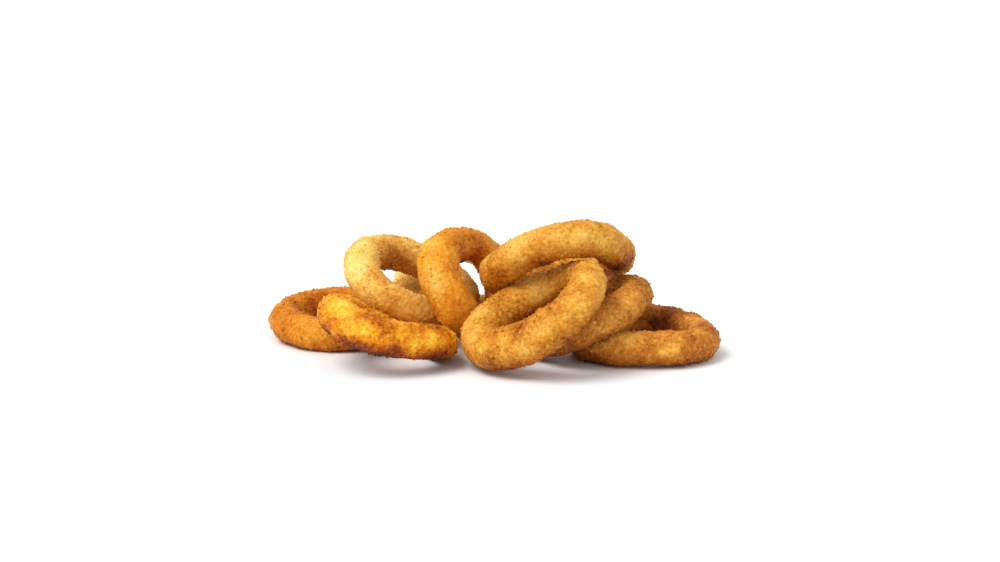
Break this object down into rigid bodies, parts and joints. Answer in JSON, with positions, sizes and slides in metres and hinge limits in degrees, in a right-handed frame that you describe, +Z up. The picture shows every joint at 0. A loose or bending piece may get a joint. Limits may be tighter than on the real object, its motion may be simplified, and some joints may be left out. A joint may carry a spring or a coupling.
{
  "type": "onion rings side",
  "caption": "Side portion of breaded, deep-fried onion rings lying in a loose heap, each ring a separate solid.",
  "frame": {"origin": "on the surface the heap lies on, under the middle of its outline box", "axes": "+Z up, +X along the heap's length, to the right as seen from its front, and +Y to the back"},
  "size_m": [0.1874, 0.144, 0.0582],
  "materials": {
    "crust_orange": "orange-brown fried crumb, rough, slightly oily",
    "crust_yellow": "bright yellow fried crumb with orange patches, rough, slightly oily",
    "crust_pale": "pale golden fried crumb, rough, slightly oily",
    "crust_golden": "golden fried crumb with brown specks, rough, slightly oily",
    "crust_brown": "golden-brown fried crumb, rough, slightly oily"
  },
  "bodies": {
    "root": {"ring_left_flat": "crust_orange", "ring_left_front": "crust_yellow", "ring_left_top": "crust_pale", "ring_upright": "crust_orange", "ring_top": "crust_golden", "ring_front": "crust_golden", "ring_behind_front": "crust_pale", "ring_right_flat": "crust_brown", "ring_back": "crust_golden"}
  },
  "joints": []
}
